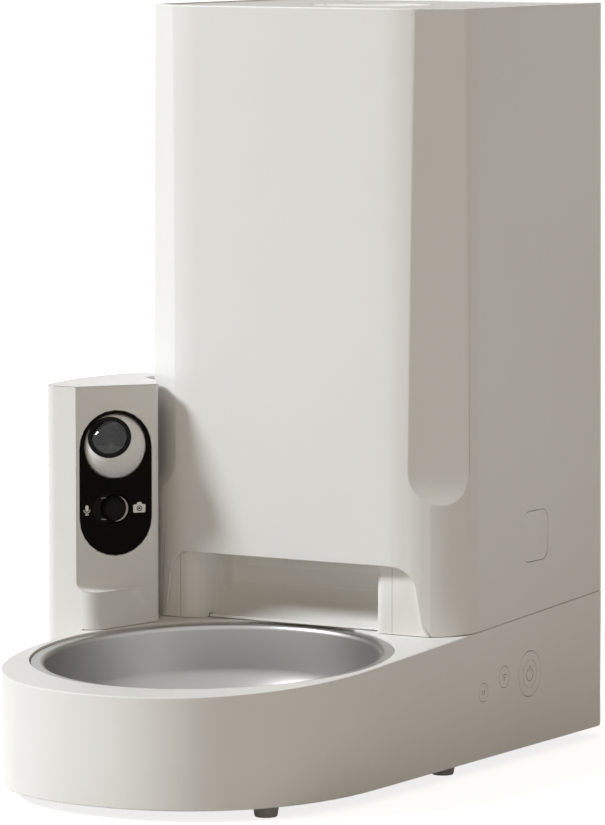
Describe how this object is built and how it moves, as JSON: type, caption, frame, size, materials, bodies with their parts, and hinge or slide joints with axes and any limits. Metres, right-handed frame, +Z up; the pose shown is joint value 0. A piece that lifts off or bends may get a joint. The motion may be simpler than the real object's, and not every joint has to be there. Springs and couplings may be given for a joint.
{
  "type": "pet feeder with camera",
  "caption": "Programmed dry-food feeder: tall lift-off hopper on a sloping base with a steel bowl, a portion wheel and a side tower with a pan and tilt camera.",
  "frame": {"origin": "middle of the footprint's bounding box, on the ground under the feet", "axes": "+Z up, the front with the bowl towards -Y, the camera tower on the -X side"},
  "size_m": [0.2182, 0.35, 0.383],
  "materials": {
    "shell": "fine satin",
    "chute": "satin",
    "steel": "turned and brushed",
    "rubber": "matte",
    "panel": "high gloss",
    "lens": "semi gloss",
    "glass": "polished",
    "silicone": "satin",
    "board": "solder resist",
    "motor": "plated",
    "inner": "matte"
  },
  "bodies": {
    "base": {"base_housing": "shell", "bottom_cover": "inner", "foot_front_left": "rubber", "foot_front_right": "rubber", "foot_middle_left": "rubber", "foot_middle_right": "rubber", "foot_back_left": "rubber", "foot_back_right": "rubber", "power_inlet": "inner", "main_board": "board", "speaker": "inner", "chute_housing": "chute", "drive_motor": "motor", "camera_tower": "shell", "tower_bottom_cover": "inner", "camera_panel": "panel", "pan_motor": "motor", "camera_board": "board"},
    "bowl": {"food_bowl": "steel"},
    "hopper": {"hopper_shell": "shell", "food_funnel": "chute"},
    "release_left": {"release_button_left": "shell"},
    "release_right": {"release_button_right": "shell"},
    "hopper_lid": {"lid": "shell", "lid_seal": "silicone", "desiccant_box": "chute"},
    "knob": {"lid_knob": "shell"},
    "rotor": {"portion_wheel": "silicone", "wheel_shaft": "motor"},
    "pan_arm": {"pan_bracket": "inner"},
    "ball": {"camera_ball": "shell", "lens_barrel": "lens", "lens_glass": "glass"},
    "slider": {"privacy_slider": "panel"},
    "power_key": {"power_button": "shell"},
    "feed_key": {"feed_button": "shell"},
    "reset_key": {"reset_button": "shell"}
  },
  "joints": [
    {"name": "bowl_lift", "type": "slide", "parent": "base", "child": "bowl", "axis": [0, -0.0504, 0.9987], "range_m": [0, 0.033]},
    {"name": "hopper_lift", "type": "slide", "parent": "base", "child": "hopper", "axis": [0, 0, 1], "range_m": [0, 0.12]},
    {"name": "release_left_press", "type": "slide", "parent": "hopper", "child": "release_left", "axis": [1, 0, 0], "range_m": [0, 0.003], "stiffness_N_per_m": 1500},
    {"name": "release_right_press", "type": "slide", "parent": "hopper", "child": "release_right", "axis": [-1, 0, 0], "range_m": [0, 0.003], "stiffness_N_per_m": 1500},
    {"name": "lid_lift", "type": "slide", "parent": "hopper", "child": "hopper_lid", "axis": [0, 0, 1], "range_m": [0, 0.06]},
    {"name": "knob_turn", "type": "hinge", "parent": "hopper_lid", "child": "knob", "pos_m": [0.01411, 0.093, 0.38], "axis": [0, 0, 1], "range_deg": [0, 90]},
    {"name": "portion_turn", "type": "hinge", "parent": "base", "child": "rotor", "pos_m": [0.01411, 0.044, 0.152], "axis": [0, 1, 0], "continuous": true},
    {"name": "camera_pan", "type": "hinge", "parent": "base", "child": "pan_arm", "pos_m": [-0.07631, -0.0145, 0.1597], "axis": [0, 0, 1], "range_deg": [-25, 60]},
    {"name": "camera_tilt", "type": "hinge", "parent": "pan_arm", "child": "ball", "pos_m": [-0.07631, -0.0145, 0.1597], "axis": [0.8829, 0.4695, 0], "range_deg": [-8, 50]},
    {"name": "slider_move", "type": "slide", "parent": "base", "child": "slider", "axis": [0.6157, 0.788, 0], "range_m": [-0.005, 0]},
    {"name": "power_press", "type": "slide", "parent": "base", "child": "power_key", "axis": [-1, 0, 0], "range_m": [0, 0.0012], "stiffness_N_per_m": 1000},
    {"name": "feed_press", "type": "slide", "parent": "base", "child": "feed_key", "axis": [-1, 0, 0], "range_m": [0, 0.0012], "stiffness_N_per_m": 1000},
    {"name": "reset_press", "type": "slide", "parent": "base", "child": "reset_key", "axis": [-1, 0, 0], "range_m": [0, 0.0012], "stiffness_N_per_m": 1000}
  ]
}
